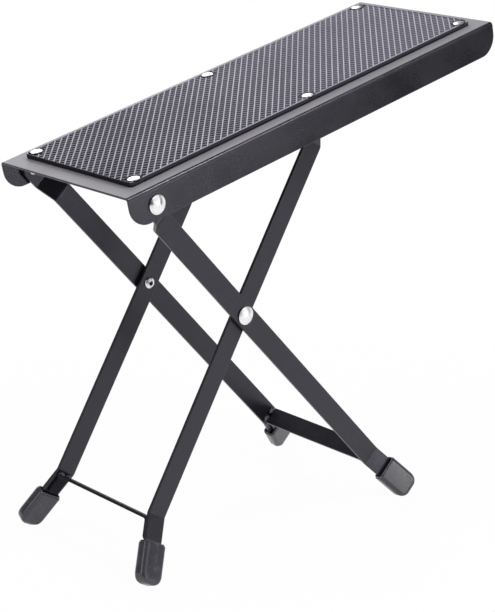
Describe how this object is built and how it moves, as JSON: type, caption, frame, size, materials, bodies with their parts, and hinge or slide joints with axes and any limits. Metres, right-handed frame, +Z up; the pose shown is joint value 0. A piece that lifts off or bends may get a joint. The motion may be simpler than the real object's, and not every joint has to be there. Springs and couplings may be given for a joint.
{
  "type": "folding guitar footrest",
  "caption": "Folding guitarist's footrest: a tilted black steel deck with a ribbed rubber mat, on two crossed, riveted strap frames with splayed feet in rubber caps",
  "frame": {"origin": "On the floor, below the middle of the object's box", "axes": "+Z up; +X from the deck's low front end to its high rear end; -Y is the side nearer the camera in the picture"},
  "size_m": [0.255, 0.1082, 0.2615],
  "materials": {
    "black_powder_coat": "satin black powder coat",
    "mat_rubber": "moulded, with fine crossed ribs",
    "cap_rubber": "smooth moulded, slightly shiny",
    "bright_steel": "bright zinc-plated rivets",
    "dark_steel": "blackened rod"
  },
  "bodies": {
    "deck_body": {"deck": "black_powder_coat", "mat": "mat_rubber", "height_rack": "black_powder_coat", "deck_pivot_rivet_left": "bright_steel", "deck_pivot_rivet_right": "bright_steel", "deck_pivot_washer_left": "bright_steel", "deck_pivot_washer_right": "bright_steel", "mat_rivet_1": "bright_steel", "mat_rivet_2": "bright_steel", "mat_rivet_3": "bright_steel", "mat_rivet_4": "bright_steel", "mat_rivet_5": "bright_steel", "mat_rivet_6": "bright_steel"},
    "outer_frame": {"outer_leg_left": "black_powder_coat", "outer_leg_right": "black_powder_coat", "outer_brace": "black_powder_coat", "cross_rivet_left": "bright_steel", "cross_rivet_right": "bright_steel", "cross_washer_left": "bright_steel", "cross_washer_right": "bright_steel", "rear_foot_cap_left": "cap_rubber", "rear_foot_cap_right": "cap_rubber"},
    "inner_frame": {"inner_leg_left": "black_powder_coat", "inner_leg_right": "black_powder_coat", "inner_brace": "black_powder_coat", "support_rod": "dark_steel", "front_foot_cap_left": "cap_rubber", "front_foot_cap_right": "cap_rubber"}
  },
  "joints": [
    {"name": "deck_pivot", "type": "hinge", "parent": "deck_body", "child": "outer_frame", "pos_m": [-0.11003, 0, 0.19471], "axis": [0, -1, 0], "range_deg": [0, 59.7]},
    {"name": "cross_pivot", "type": "hinge", "parent": "outer_frame", "child": "inner_frame", "pos_m": [-0.0431, 0, 0.12492], "axis": [0, -1, 0], "range_deg": [-105.8, 0]}
  ],
  "couplings": [
    {"joint": "cross_pivot", "follows": "deck_pivot", "ratio": -1.7705}
  ]
}
